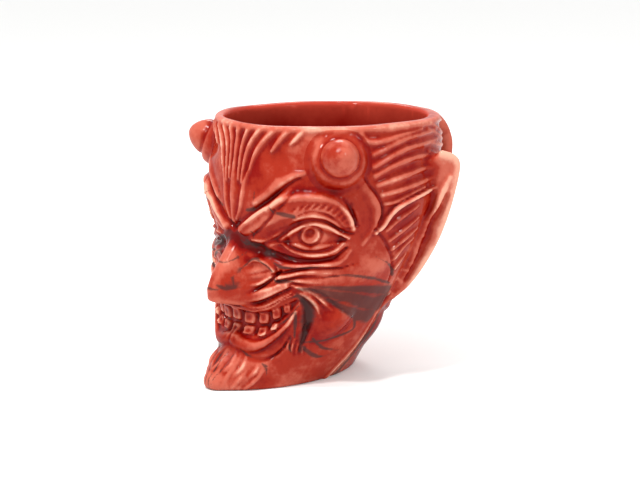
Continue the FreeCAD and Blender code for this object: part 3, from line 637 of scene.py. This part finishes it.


# ---------------------------------------------------------------- dark brush marks under the glaze, and painted shade
def marks_and_painted_shade():
    """Where the dark underglaze strokes and the painted shade under the eye and on the nape lie on the skin:
    1 along a stroke's middle, 0 clear of it.
    """
    r = Relief()
    strokes = (
        # the wedge over the cheek, from the mouth's corner back to the jaw
        ([(43, 41.2), (58, 40.8), (75, 39.3), (92, 37.4), (106, 35.6)], 2.4, (0.15, 1.3)),
        ([(42, 40.6), (54, 39.2), (75, 35.6), (92, 32.0), (106, 30.5)], 3.6, (0.35, 1.6)),
        ([(50, 38.4), (62, 35.4), (76, 31.0), (90, 27.4), (103, 25.6)], 2.8, (0.12, 1.6)),
        # thin arcs over it
        ([(54, 44.6), (60, 45.0), (68, 45.3), (80, 43.5), (92, 41), (103, 38.5)], 0.85, (0.4, 0.9)),
        ([(79, 51.6), (89, 48.3), (96, 45.4), (101, 42)], 0.8, (0.3, 1.0)),
        # the dark pit beside the mouth, and the claws under it
        ([(42, 38.2), (47, 36.0), (51.5, 32), (53.5, 26), (55, 20), (58, 15)], 5.4, (0.35, 0.35)),
        ([(44, 31), (46.5, 25), (49, 20.5)], 1.5, (0.6, 0.4)),
        ([(46, 21), (48.5, 16.5), (54, 13.6)], 0.7, (0.8, 0.3)),
        ([(58, 16.5), (66, 13.6), (75, 11.5), (84, 11.8)], 1.3, (0.9, 0.2)),
        ([(62, 20), (68, 17.3), (77, 14.6), (91, 12.8)], 1.0, (0.8, 0.3)),
        # round the ball of the cheek
        ([(83, 29), (88.5, 25), (91.5, 21.5), (84, 20), (76, 19.2), (67, 18.6), (58, 18.5)],
         0.95, (1.2, 0.9)),
        ([(39, 36.6), (43, 37.5), (46, 35)], 1.0, (0.4, 0.8)),
        ([(31, 24.3), (37.6, 26.7), (41.5, 29.6), (44.5, 33.5)], 0.6, (0.3, 0.8)),
        # dabs on the brow
        ([(26.8, 69.2), (30, 68.9), (34.6, 68.2)], 1.5, (0.7, 0.9)),
        ([(9.5, 69), (12.5, 69.6), (13.6, 70.4)], 1.3, (0.8, 0.5)),
        ([(13, 71.8), (13.4, 75), (13.0, 78)], 0.35, (0.6, 0.3)),
        ([(23.4, 73), (24.2, 70.2), (26, 68.4)], 0.45, (0.5, 0.5)),
        # lines across the nose and its wing, and down the beard
        ([(3.8, 57.4), (9, 55.6), (11, 57)], 0.6, (0.5, 0.4)),
        ([(-12, 50.8), (-3, 49.4), (3, 49.1), (9, 53)], 0.6, (0.5, 0.4)),
        ([(-10, 46.2), (-2, 45.4)], 0.45, (0.4, 0.4)),
        ([(-8, 40.8), (-1, 39.6), (4, 39.2)], 1.0, (0.5, 0.5)),
        ([(6.4, 43.2), (9.1, 47.4), (14.6, 50.7), (22, 48.5), (25.7, 46.5)], 0.8, (0.6, 0.8)),
        ([(3, 41), (6, 39.6), (9, 39.4)], 1.3, (0.5, 0.5)),
        ([(27, 44.2), (29, 42.6), (34, 43), (39, 43.2)], 1.1, (0.5, 0.5)),
        ([(38, 48.3), (46, 48.6), (53, 49.3)], 0.8, (0.4, 0.3)),
        ([(12, 62.3), (13.4, 60), (13.2, 58)], 0.5, (0.5, 0.4)),
        # a broad dark patch under the eye: painted shade in its hollow
        ([(9, 57), (16, 54.8), (24, 52.9), (36, 51.4)], 3.2, (0.5, 0.3)),
        ([(24, 50.6), (30, 48.6), (38, 48.2)], 1.1, (0.4, 0.4)),
        ([(5, 15), (4, 10), (2, 5), (2, 1)], 0.7, (0.6, 0.5)),
        ([(9, 15), (9, 10), (6, 5), (5, 1)], 0.5, (0.6, 0.5)),
        ([(0, 16), (0.4, 11), (0, 7)], 0.6, (0.6, 0.5)),
        # down the nape behind the jaw: painted shade
        ([(116, 30), (118, 20), (115, 10), (108, 0)], 3.2, (0.4, 0.9)),
        ([(34, 10.5), (39, 9), (43, 5.5)], 0.9, (0.7, 0.3)),
        ([(12, 15.6), (18, 13.6), (24, 12.6)], 0.9, (0.5, 0.4)),
    )
    for line, width, ends in strokes:
        r.stroke(line, width, 1.0, ends, mode="over")
    return r


def pools_and_shade():
    """How much darker the red glaze is than the relief alone would make it, 0 to 1: in part glaze lying
    thicker, in part painted shade in the hollow under the eye and on the nape.
    """
    r = Relief()
    strokes = (
        # the hollow under the eye and the crease below it: painted shade, partly glaze lying thick
        ([(3, 58), (11, 55.5), (20, 53.5), (32, 51.5), (46, 50.8), (58, 52)], 4.6, 0.9, (1.0, 0.4)),
        ([(10, 50), (20, 51), (30, 48.5), (44, 47.5)], 3.0, 0.6, (0.8, 0.4)),
        ([(26, 58), (34, 56), (44, 55.4), (54, 56.5)], 2.0, 0.5, (0.5, 0.5)),
        ([(40, 38), (47, 34), (52, 26), (56, 16)], 6.5, 0.5, (0.6, 0.6)),
        ([(0, 32), (20, 31), (34, 35)], 2.0, 0.2, (1.0, 0.4)),
        ([(-10, 18), (8, 18), (26, 16.5), (40, 24)], 4.0, 0.6, (0.8, 0.6)),
    )
    for line, width, thickness, ends in strokes:
        r.stroke(line, width, thickness, ends, mode="over")
    r.dome(70, 25, 14, 12, 0.45)
    # the nape behind the jaw: painted shade
    r.dome(128, 14, 16, 18, 0.7)
    r.dome(54, 82, 15, 15, 0.3)
    return r


POOLS_AND_SHADE = pools_and_shade()


# ---------------------------------------------------------------- luted pieces
EAR_LOBE = np.array([30.0, 6.0, 26.0])
EAR_TOP = np.array([41.5, 14.5, 80.0])
EAR_TIP = np.array([49.0, 27.0, 80.0])


def ear_axes():
    """Out along the ear's plate, up the plate, and square to it towards the front."""
    square = np.cross(EAR_TIP - EAR_LOBE, EAR_TOP - EAR_LOBE)
    square /= np.linalg.norm(square)
    up = (EAR_TOP - EAR_LOBE) / np.linalg.norm(EAR_TOP - EAR_LOBE)
    return np.cross(up, square), up, square


def on_ear(out, up, lift):
    """The point at a distance out, up and in front of the middle of the ear's plate."""
    axes = ear_axes()
    return EAR_LOBE + out * axes[0] + up * axes[1] + lift * axes[2]


# Lines on the ear's plate: distance out, distance up and radius at each point.
EAR_EDGE = ((-3.5, 3.5, 1.4), (1.4, 8.5, 1.6), (4.9, 14.5, 1.7), (8.0, 23, 1.7), (10.3, 33, 1.7),
            (11.2, 44, 1.7), (11.0, 55, 1.7), (10.2, 62.0, 1.6), (7.8, 64.4, 1.5), (3.6, 65.0, 1.4))
EAR_FOLD = ((8.6, 57, 0.8), (7.6, 50.5, 1.3), (6.4, 45, 1.5), (4.4, 39.5, 1.5), (4.2, 35, 1.4),
            (3.1, 30, 1.3), (3.3, 25.5, 1.4), (2.7, 21, 1.3), (1.5, 16.5, 1.2), (0.3, 11, 0.8))
EAR_BRANCH = ((8.8, 44.5, 0.7), (7.0, 40, 1.0), (5.2, 36, 0.9))
EAR_BOWL = ((2.4, 54, 1.2), (3.2, 46, 2.2), (1.4, 38, 2.2), (0.6, 29, 1.8), (0.4, 20, 1.2))
EAR_HOLLOW = ((9.6, 50, 0.9), (8.8, 44.0, 1.3), (6.8, 38.5, 1.3), (6.2, 31, 1.4), (5.2, 23, 1.3),
              (2.9, 14, 0.8))
EAR_ROOT = ((-5.0, 5.0), (-6.0, 20), (-6.0, 40), (-5.0, 60))
EAR_HALF, EAR_MIDDLE, EAR_ROUND = 1.9, 0.3, 1.5  # half thickness, how far back its middle is, and rounding


def ear_bar(rows, lift, x, y, z):
    """Distance from a bar that lies along a line on the ear's plate, lift in front of it."""
    return tube([on_ear(out, up, lift) for out, up, _ in rows], [radius for _, _, radius in rows], x, y, z)


def inside_outline(outline, u, v):
    """Signed distance from a closed outline in the plane, less than 0 inside."""
    near = np.full(u.shape, 1e6)
    inside = np.zeros(u.shape, bool)
    for (ax, ay), (bx, by) in zip(outline, np.roll(outline, -1, axis=0)):
        rx, ry = bx - ax, by - ay
        t = np.clip(((u - ax) * rx + (v - ay) * ry) / (rx * rx + ry * ry + 1e-9), 0, 1)
        near = np.minimum(near, np.hypot(u - ax - t * rx, v - ay - t * ry))
        crosses = (ay > v) != (by > v)
        inside ^= crosses & (u < (bx - ax) * (v - ay) / (by - ay + 1e-12) + ax)
    return np.where(inside, -near, near)


def ear_field(x, y, z):
    """A pointed ear: a dished plate with a rolled edge and a raised fold down its middle."""
    out, up, square = ear_axes()
    px, py, pz = x - EAR_LOBE[0], y - EAR_LOBE[1], z - EAR_LOBE[2]
    u = px * out[0] + py * out[1] + pz * out[2]
    v = px * up[0] + py * up[1] + pz * up[2]
    w = px * square[0] + py * square[1] + pz * square[2]
    outline = np.vstack([spline([row[:2] for row in EAR_EDGE], 5), EAR_ROOT[::-1]])
    flat = inside_outline(outline, u, v)
    shape = trim(flat, np.abs(w + EAR_MIDDLE) - EAR_HALF, EAR_ROUND)
    for rows, lift, soft in ((EAR_EDGE, 0.3, 1.6), (EAR_FOLD, 1.7, 1.2), (EAR_BRANCH, 1.3, 1.0)):
        shape = join(shape, ear_bar(rows, lift, x, y, z), soft)
    for rows, lift, soft in ((EAR_BOWL, 2.4, 1.4), (EAR_HOLLOW, 2.2, 1.0)):
        shape = trim(shape, -ear_bar(rows, lift, x, y, z), soft)
    return shape


HORN_TURN, HORN_RISE, HORN_UP, HORN_SEAT = 54.0, 20.0, 83.9, 31.0
# Distance along the horn's axis and radius there: a broad foot, a rounded ledge and a domed tip.
HORN_SHAPE = ((0, 9.4), (12.5, 9.9), (14.8, 9.9), (16.4, 9.4), (17.4, 8.5), (17.8, 7.5), (18.5, 7.1),
              (19.6, 7.1), (21.0, 6.6), (22.6, 5.7), (24.2, 4.5), (25.6, 2.9), (26.4, 1.4), (26.7, 0.1))


def horn_field(x, y, z):
    """A stubby stepped horn that leans out from the corner of the forehead."""
    t, rise = math.radians(HORN_TURN), math.tan(math.radians(HORN_RISE))
    axis = np.array([math.sin(t), -math.cos(t), rise])
    axis /= np.linalg.norm(axis)
    seat = np.array([math.sin(t) * HORN_SEAT, -math.cos(t) * HORN_SEAT, HORN_UP])
    px, py, pz = x - seat[0], y - seat[1], z - seat[2]
    along = px * axis[0] + py * axis[1] + pz * axis[2]
    side = np.sqrt(np.maximum(px**2 + py**2 + pz**2 - along**2, 0))
    shape = spline(HORN_SHAPE, 4)
    outline = np.vstack([shape, [(0, 0)]])
    return inside_outline(outline, along, side)


BAR_TOP, BAR_START, BAR_RUN, BAR_BEND, BAR_SWEEP = 95.5, 38.0, 13.8, 14.0, 36.0
BAR_LEVEL_ENDS = 5  # how far before the bend the level run's last point is
BAR_FOOT = (0.0, 29.0, 42.0)
BAR_RADII = (4.6, 4.0, 3.7, 3.6, 3.5, 3.5, 3.5, 3.5, 3.6, 4.3)
BAR_SQUASH, BAR_SCALE = 1.6, 0.9  # how much wider than deep, and what brings the squashed distance near true


def handle_route():
    """The bar's middle line: level out of the head, over a tight bend and down a long sweep back to it."""
    knee, hub = BAR_START + BAR_RUN, BAR_START + BAR_RUN + BAR_BEND - BAR_SWEEP
    low = BAR_TOP - BAR_BEND
    line = [(0.0, BAR_START, BAR_TOP), (0.0, knee - BAR_LEVEL_ENDS, BAR_TOP)]
    for centre, radius, turns in ((knee, BAR_BEND, (75, 50, 25, 0)), (hub, BAR_SWEEP, (-20, -40, -60))):
        for t in turns:
            a = math.radians(t)
            line.append((0.0, centre + radius * math.cos(a), low + radius * math.sin(a)))
    return line + [BAR_FOOT]


def handle_field(x, y, z):
    """A bar of oval section, wider than it is deep, that thickens where it meets the head."""
    return tube(handle_route(), BAR_RADII, x / BAR_SQUASH, y, z) * BAR_SCALE


# ---------------------------------------------------------------- meshes
def under_rim(block):
    """The block's field cut off level at the rim."""
    return trim(block.field, block.axes[2][None, None, :] - HEAD_TALL, RIM_ROUND)


SINK, SLIP_BELOW = 1.5, 0.04  # how deep a piece goes into the head, and how far under its skin the slip ends


def union(clay, own, soft):
    """The clay and a piece on it as one block."""
    return Block(clay.axes, join(under_rim(clay), own, soft).astype(np.float32))


def luted(clay, own, soft):
    """A block of the piece pressed onto the clay, with the slip round its root smoothed into the head."""
    piece = join(under_rim(clay) + SLIP_BELOW, own, soft)
    piece = np.maximum(piece, own - soft)
    piece = np.maximum(piece, -(clay.field + SINK))
    return Block(clay.axes, under_rim(Block(clay.axes, piece)).astype(np.float32))


def mesh_of(block):
    """Corners in the sculpt's millimetres and quads of the surface where the block's field is 0."""
    grid = openvdb.FloatGrid()
    grid.copyFromArray(np.ascontiguousarray(block.field))
    points, quads = grid.convertToQuads(isovalue=0.0)
    return points * STEP + block.low, quads[:, ::-1]


def placed(points):
    """From the sculpt's millimetres to the frame's metres."""
    return (points + (0.0, MOUTH_BACK, 0.0)) * MM


def made(name, points, quads):
    """An object with this mesh, thinned if it has too many faces."""
    mesh = bpy.data.meshes.new(name)
    mesh.vertices.add(len(points))
    mesh.vertices.foreach_set("co", placed(points).astype(np.float32).ravel())
    mesh.loops.add(quads.size)
    mesh.loops.foreach_set("vertex_index", quads.astype(np.int32).ravel())
    mesh.polygons.add(len(quads))
    mesh.polygons.foreach_set("loop_start", np.arange(0, quads.size, 4, dtype=np.int32))
    mesh.update(calc_edges=True)
    mesh.validate()
    mesh.polygons.foreach_set("use_smooth", np.ones(len(mesh.polygons), bool))
    thing = bpy.data.objects.new(name, mesh)
    bpy.context.collection.objects.link(thing)
    if 2 * len(quads) > MOST_FACES:
        thinned(thing, MOST_FACES / (2 * len(quads)))
    return thing


def thinned(thing, ratio):
    """Collapses the least needed edges until ratio of the faces is left, the fewest of them on the face."""
    x, y, z = corners_of(thing).T
    inside = skull(x, y, z) < -INSIDE_STARTS * WALL
    behind = ~inside & (bearing(x, y, z) > FACE_ENDS)
    spare = thing.vertex_groups.new(name="spare")
    for part, weight in ((inside, INSIDE_WEIGHT), (behind, BEHIND_WEIGHT), (~inside & ~behind, FACE_WEIGHT)):
        spare.add(np.flatnonzero(part).tolist(), weight, "REPLACE")
    thin = thing.modifiers.new("thin", "DECIMATE")
    thin.ratio = ratio
    thin.vertex_group = spare.name
    bpy.context.view_layer.update()
    shaped = thing.evaluated_get(bpy.context.evaluated_depsgraph_get())
    mesh = bpy.data.meshes.new_from_object(shaped)
    thing.modifiers.clear()
    thing.vertex_groups.clear()
    old, thing.data = thing.data, mesh
    bpy.data.meshes.remove(old)
    mesh.polygons.foreach_set("use_smooth", np.ones(len(mesh.polygons), bool))


def corners_of(thing):
    """The mesh's corners in the sculpt's millimetres."""
    flat = np.empty(len(thing.data.vertices) * 3, np.float32)
    thing.data.vertices.foreach_get("co", flat)
    return flat.reshape(-1, 3).astype(float) / MM - (0.0, MOUTH_BACK, 0.0)


def store(thing, name, values):
    """Keeps a value for each corner under a name that the glaze reads."""
    layer = thing.data.attributes.new(name, "FLOAT", "POINT")
    layer.data.foreach_set("value", values.astype(np.float32))


BROAD_LIMITS = (-1.0, 1.2)
MARK_DEPTH = -2.5  # the brush marks and painted shade go no deeper than this below the skin
EDGE_LIMIT, EDGE_LOSS = 0.25, 2  # the palest an edge gets clear of the head, and how fast that is lifted


def glaze_marks(thing, block, fine, broad, marks):
    """Stores where the glaze lies thick and thin, where brush marks and painted shade lie and what is inside
    the cup.
    """
    points = corners_of(thing)
    store(thing, "fine", sampled(fine, block, points))
    store(thing, "broad", np.clip(sampled(broad, block, points), *BROAD_LIMITS))
    x, y, z = points.T
    deep = skull(x, y, z)
    store(thing, "mark", marks.read(bearing(x, y, z), z) * (deep > MARK_DEPTH))
    store(thing, "pool_and_shade", POOLS_AND_SHADE.read(bearing(x, y, z), z))
    store(thing, "inner", fade(deep, -3.9, -2.6) * fade(z, HEAD_TALL - 0.6, HEAD_TALL)
          * fade(-z, -FLOOR + 1, -3.0))


def mark_piece(thing, block, fine, broad, marks, sign, thick):
    """Stores the glaze's thickness on a luted piece, whose field is its mirror twin's where sign is -1."""
    points = corners_of(thing) * (sign, 1, 1)
    x, y, z = points.T
    clear = fade(skull(x, y, z), 5.0, 1.5)
    edge = sampled(fine, block, points)
    store(thing, "fine", np.where(clear > 0, np.minimum(edge, EDGE_LIMIT + EDGE_LOSS * (1 - clear)), edge))
    store(thing, "broad", sampled(broad, block, points))
    store(thing, "mark", marks.read(bearing(x, y, z), z) * (1 - clear))
    store(thing, "pool_and_shade", thick * clear)
    store(thing, "inner", np.zeros(len(points)))


# ---------------------------------------------------------------- materials
def node(tree, kind, **sockets):
    """A node with some of its sockets set."""
    made_node = tree.nodes.new(kind)
    for name, value in sockets.items():
        made_node.inputs[name.replace("_", " ")].default_value = value
    return made_node


def math_node(tree, operation, a, b=None, c=None, clamp=False):
    """One step of arithmetic on values or sockets."""
    n = tree.nodes.new("ShaderNodeMath")
    n.operation, n.use_clamp = operation, clamp
    for i, value in enumerate((a, b, c)):
        if value is None:
            continue
        if hasattr(value, "links"):
            tree.links.new(value, n.inputs[i])
        else:
            n.inputs[i].default_value = value
    return n.outputs[0]


def attribute(tree, name):
    """The values stored on the mesh under a name."""
    n = tree.nodes.new("ShaderNodeAttribute")
    n.attribute_name = name
    return n.outputs["Fac"]


def ramp(tree, value, stops):
    """A colour for a value, eased between stops."""
    n = tree.nodes.new("ShaderNodeValToRGB")
    n.color_ramp.interpolation = "EASE"
    while len(n.color_ramp.elements) < len(stops):
        n.color_ramp.elements.new(0.5)
    for element, (at, colour) in zip(n.color_ramp.elements, stops):
        element.position = at
        element.color = (*colour, 1.0)
    tree.links.new(value, n.inputs[0])
    return n.outputs[0]


def mixed(tree, share, a, b):
    """Colour a, or colour b where share is 1."""
    n = tree.nodes.new("ShaderNodeMix")
    n.data_type = "RGBA"
    tree.links.new(share, n.inputs[0])
    for socket, value in ((n.inputs[6], a), (n.inputs[7], b)):
        if hasattr(value, "links"):
            tree.links.new(value, socket)
        else:
            socket.default_value = (*value, 1.0)
    return n.outputs[2]


def noise(tree, scale, detail=3.0, rough=0.5, squeeze=(1.0, 1.0, 1.0)):
    """Noise over the object's own place, finer along an axis where squeeze is over 1."""
    place = tree.nodes.new("ShaderNodeTexCoord")
    squeezed = tree.nodes.new("ShaderNodeVectorMath")
    squeezed.operation = "MULTIPLY"
    squeezed.inputs[1].default_value = squeeze
    n = node(tree, "ShaderNodeTexNoise", Scale=scale, Detail=detail, Roughness=rough)
    tree.links.new(place.outputs["Object"], squeezed.inputs[0])
    tree.links.new(squeezed.outputs[0], n.inputs["Vector"])
    return n.outputs["Fac"]


# Glaze colours from the thickest glaze, which also serves as painted shade, to a thin edge.
POOL_AND_SHADE = (0.085, 0.0004, 0.0003)
DEEP = (0.165, 0.002, 0.0008)
BODY = (0.245, 0.016, 0.006)
PALE = (0.38, 0.078, 0.048)
EDGE = (0.58, 0.27, 0.19)
INNER_DEEP = (0.16, 0.0003, 0.0002)
INNER_PALE = (0.36, 0.035, 0.020)
# the dark brush marks' colour, which also paints shade on the nape and under the eye
MARK = (0.030, 0.016, 0.015)


# How pale the glaze is: where it is plain, and what each of these adds to that.
PLAIN_THIN, FINE_SHARE, BROAD_SHARE, POOL_AND_SHADE_SHARE = 0.43, 0.52, 0.16, -0.5
CLOUD_SHARE, GRAIN_SHARE, CUP_CLOUD = 0.95, 0.16, 0.10
THIN_STOPS = ((0.0, POOL_AND_SHADE), (0.22, DEEP), (0.42, BODY), (0.66, PALE), (0.95, EDGE))
CUP_STOPS = ((0.86, INNER_DEEP), (1.02, INNER_PALE))  # by share of the head's height
STREAK_SHARE, STREAK_SHIFT = 1.1, -0.5
MARK_SLOPE, MARK_SHIFT, MARK_STRENGTH = 1.9, -0.45, 0.76
CLOUD_NOISE, GRAIN_NOISE, BUMP_NOISE = (70, 5, 0.6), (420, 3), (120, 2)
STREAK_NOISE = (60, 5, 0.7, (1.0, 1.0, 7.0))
ROUGHNESS, COAT_ROUGHNESS, COAT_IOR, COAT_WEIGHT, COAT_LOST_INSIDE = 0.32, 0.04, 1.28, 0.5, -0.35
BUMP_STRENGTH, BUMP_DEPTH = 0.12, 0.0004


def centred(tree, value, share):
    """A noise's value times share, shifted to lie evenly round 0."""
    return math_node(tree, "MULTIPLY_ADD", value, share, -share / 2)


def thinness(tree, cloud):
    """How thin the glaze lies: 0 where it lies deepest and where shade is painted, 1 on a sharp edge."""
    thin = math_node(tree, "MULTIPLY_ADD", attribute(tree, "fine"), FINE_SHARE, PLAIN_THIN)
    thin = math_node(tree, "MULTIPLY_ADD", attribute(tree, "broad"), BROAD_SHARE, thin)
    # painted shade under the eye and on the nape darkens the glaze here, along with its thicker spots
    thin = math_node(tree, "MULTIPLY_ADD", attribute(tree, "pool_and_shade"), POOL_AND_SHADE_SHARE, thin)
    thin = math_node(tree, "ADD", thin, centred(tree, cloud, CLOUD_SHARE))
    return math_node(tree, "ADD", thin, centred(tree, noise(tree, *GRAIN_NOISE), GRAIN_SHARE))


def cup_colour(tree, cloud):
    """The inside's colour, paler towards the rim."""
    place = tree.nodes.new("ShaderNodeSeparateXYZ")
    where = tree.nodes.new("ShaderNodeTexCoord")
    tree.links.new(where.outputs["Object"], place.inputs[0])
    height = math_node(tree, "MULTIPLY", place.outputs[2], 1.0 / (HEAD_TALL * MM))
    return ramp(tree, math_node(tree, "ADD", height, centred(tree, cloud, CUP_CLOUD)), CUP_STOPS)


def darkness(tree):
    """How much of the dark brush marks and painted shade shows, with their edges frayed into streaks."""
    streaks = math_node(tree, "MULTIPLY_ADD", noise(tree, *STREAK_NOISE), STREAK_SHARE, STREAK_SHIFT)
    frayed = math_node(tree, "ADD", attribute(tree, "mark"), streaks)
    dark = math_node(tree, "MULTIPLY_ADD", frayed, MARK_SLOPE, MARK_SHIFT, clamp=True)
    return math_node(tree, "MULTIPLY", dark, MARK_STRENGTH)


def red_glaze(name):
    """Clear red glaze over pale clay: deep where it lies thick and where shade is painted, pink where it
    runs thin, glossy all over.
    """
    mat = bpy.data.materials.new(name)
    mat.use_nodes = True
    tree = mat.node_tree
    shader = tree.nodes["Principled BSDF"]
    cloud, inner = noise(tree, *CLOUD_NOISE), attribute(tree, "inner")
    colour = mixed(tree, inner, ramp(tree, thinness(tree, cloud), THIN_STOPS), cup_colour(tree, cloud))
    tree.links.new(mixed(tree, darkness(tree), colour, MARK), shader.inputs["Base Color"])
    shader.inputs["Roughness"].default_value = ROUGHNESS
    shader.inputs["Specular IOR Level"].default_value = 0.0
    coat = math_node(tree, "MULTIPLY_ADD", inner, COAT_LOST_INSIDE, COAT_WEIGHT)
    tree.links.new(coat, shader.inputs["Coat Weight"])
    shader.inputs["Coat Roughness"].default_value = COAT_ROUGHNESS
    shader.inputs["Coat IOR"].default_value = COAT_IOR
    bump = node(tree, "ShaderNodeBump", Strength=BUMP_STRENGTH, Distance=BUMP_DEPTH)
    tree.links.new(noise(tree, *BUMP_NOISE), bump.inputs["Height"])
    tree.links.new(bump.outputs[0], shader.inputs["Coat Normal"])
    return mat


# ---------------------------------------------------------------- the mug
def finished(thing, node_name, material):
    """Glazes a piece, hangs it under the root and hides the part that it stands in for."""
    thing.data.materials.append(material)
    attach(thing, "root")
    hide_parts(node_name)


HALF_BOX = ((0, -66, -1), (54, 50, 104))
BACK_BOX = ((0, 20, 28), (10, 76, 103))
HANDLE_SLIP = 3.0
# Name, box, field, slip and glaze thickness of the pieces that come in pairs.
PAIRS = (
    ("horn", ((22, -50, 68), (53, -4, 103)), horn_field, 3.4, 0.1),
    ("ear", ((24, -8, 20), (54, 34, 96)), ear_field, 2.4, -0.22),
)


def build_head(half, marks, glaze):
    """The hollow head with its face, hair and beard."""
    whole = half.mirrored()
    shell = Block(whole.axes, hollowed(whole))
    fine = blurred(shell.field, FINE_REACH)
    broad = Block(half.axes, blurred(under_rim(half), BROAD_REACH)).mirrored().field
    head = made("head", *mesh_of(shell))
    glaze_marks(head, shell, fine, broad, marks)
    finished(head, "head_shell", glaze)


def build_pair(half, marks, glaze, pair):
    """A horn or ear for the left, and its mirror twin for the right."""
    name, box, shape, soft, thick = pair
    clay = half.cut(*box)
    own = shape(*clay.spread())
    both = union(clay, own, soft).field
    fine, broad = blurred(both, FINE_REACH), blurred(both, BROAD_REACH)
    piece = luted(clay, own, soft)
    for side, sign in (("left", 1), ("right", -1)):
        points, quads = mesh_of(piece)
        if sign < 0:
            points, quads = points * (-1, 1, 1), quads[:, ::-1]
        thing = made(f"{name}_{side}_glazed", points, quads)
        mark_piece(thing, piece, fine, broad, marks, sign, thick)
        finished(thing, f"{name}_{side}", glaze)


def build_handle(marks, glaze):
    """The bar at the back, worked out on one side and mirrored."""
    clay = head_clay(*BACK_BOX)
    own = handle_field(*clay.spread())
    both = union(clay, own, HANDLE_SLIP).mirrored().field
    fine, broad = blurred(both, FINE_REACH), blurred(both, BROAD_REACH)
    bar = luted(clay, own, HANDLE_SLIP).mirrored()
    handle = made("handle_glazed", *mesh_of(bar))
    mark_piece(handle, bar, fine, broad, marks, 1, 0.0)
    finished(handle, "handle", glaze)


def build_mug():
    """All six pieces."""
    marks = marks_and_painted_shade()
    glaze = red_glaze("red_glaze")
    half = head_clay(*HALF_BOX)
    build_head(half, marks, glaze)
    for pair in PAIRS:
        build_pair(half, marks, glaze, pair)
    build_handle(marks, glaze)


# ---------------------------------------------------------------- stage, light and camera
STAGE_HALF, STAGE_COLOUR, STAGE_ROUGHNESS = 30.0, (0.86, 0.86, 0.85, 1), 0.7


def stage():
    """A pale flat floor that reaches far past the picture."""
    mesh = bpy.data.meshes.new("floor")
    size = STAGE_HALF
    corners = [(-size, -size, 0), (size, -size, 0), (size, size, 0), (-size, size, 0)]
    mesh.from_pydata(corners, [], [(0, 1, 2, 3)])
    floor = bpy.data.objects.new("floor", mesh)
    bpy.context.collection.objects.link(floor)
    mat = bpy.data.materials.new("floor")
    mat.use_nodes = True
    shader = mat.node_tree.nodes["Principled BSDF"]
    shader.inputs["Base Color"].default_value = STAGE_COLOUR
    shader.inputs["Roughness"].default_value = STAGE_ROUGHNESS
    floor.data.materials.append(mat)


SKY, SKY_STRENGTH = (1.0, 1.0, 1.0, 1), 1.1
LAMP_AIM = (0, 0, 0.05)
# Name, place and size in metres, and power in watts.
LAMPS = (
    ("key", (0.05, -0.60, 0.80), 0.11, 5),
    ("top", (0.03, -0.25, 0.97), 0.13, 6),
    ("fill", (0.75, 0.10, 0.45), 0.10, 2.0),
    ("back", (-0.6, 0.5, 0.7), 0.35, 2.5),
)


def lamp(name, place, size, power):
    """A round lamp that points at the mug."""
    data = bpy.data.lights.new(name, "AREA")
    data.shape, data.size, data.energy = "DISK", size, power
    thing = bpy.data.objects.new(name, data)
    thing.location = place
    thing.rotation_euler = (Vector(LAMP_AIM) - Vector(place)).to_track_quat("-Z", "Y").to_euler()
    bpy.context.collection.objects.link(thing)


def lights():
    """A white surround and the lamps."""
    world = bpy.data.worlds.new("studio")
    bpy.context.scene.world = world
    world.use_nodes = True
    sky = world.node_tree.nodes["Background"]
    sky.inputs[0].default_value = SKY
    sky.inputs[1].default_value = SKY_STRENGTH
    for row in LAMPS:
        lamp(*row)


# Turn in degrees from the face's front, and distances in the sculpt's millimetres.
CAMERA_TURN, CAMERA_AWAY, CAMERA_UP = 48.0, 600.0, 173.7
CAMERA_AIM = (-1.6, -1.8, 50.0)
CAMERA_LENS, SENSOR = 86.15, 36.0


def camera():
    """The camera of the photograph, as near as it could be worked out."""
    data = bpy.data.cameras.new("camera")
    data.lens, data.sensor_width = CAMERA_LENS, SENSOR
    thing = bpy.data.objects.new("camera", data)
    turn = math.radians(CAMERA_TURN)
    at = np.array([math.sin(turn) * CAMERA_AWAY, -math.cos(turn) * CAMERA_AWAY, CAMERA_UP])
    thing.location = placed(at)
    aim = Vector(placed(np.array(CAMERA_AIM)))
    thing.rotation_euler = (aim - thing.location).to_track_quat("-Z", "Y").to_euler()
    bpy.context.collection.objects.link(thing)
    bpy.context.scene.camera = thing


bpy.context.scene.view_settings.view_transform = "Standard"
camera()
lights()
stage()
build_mug()
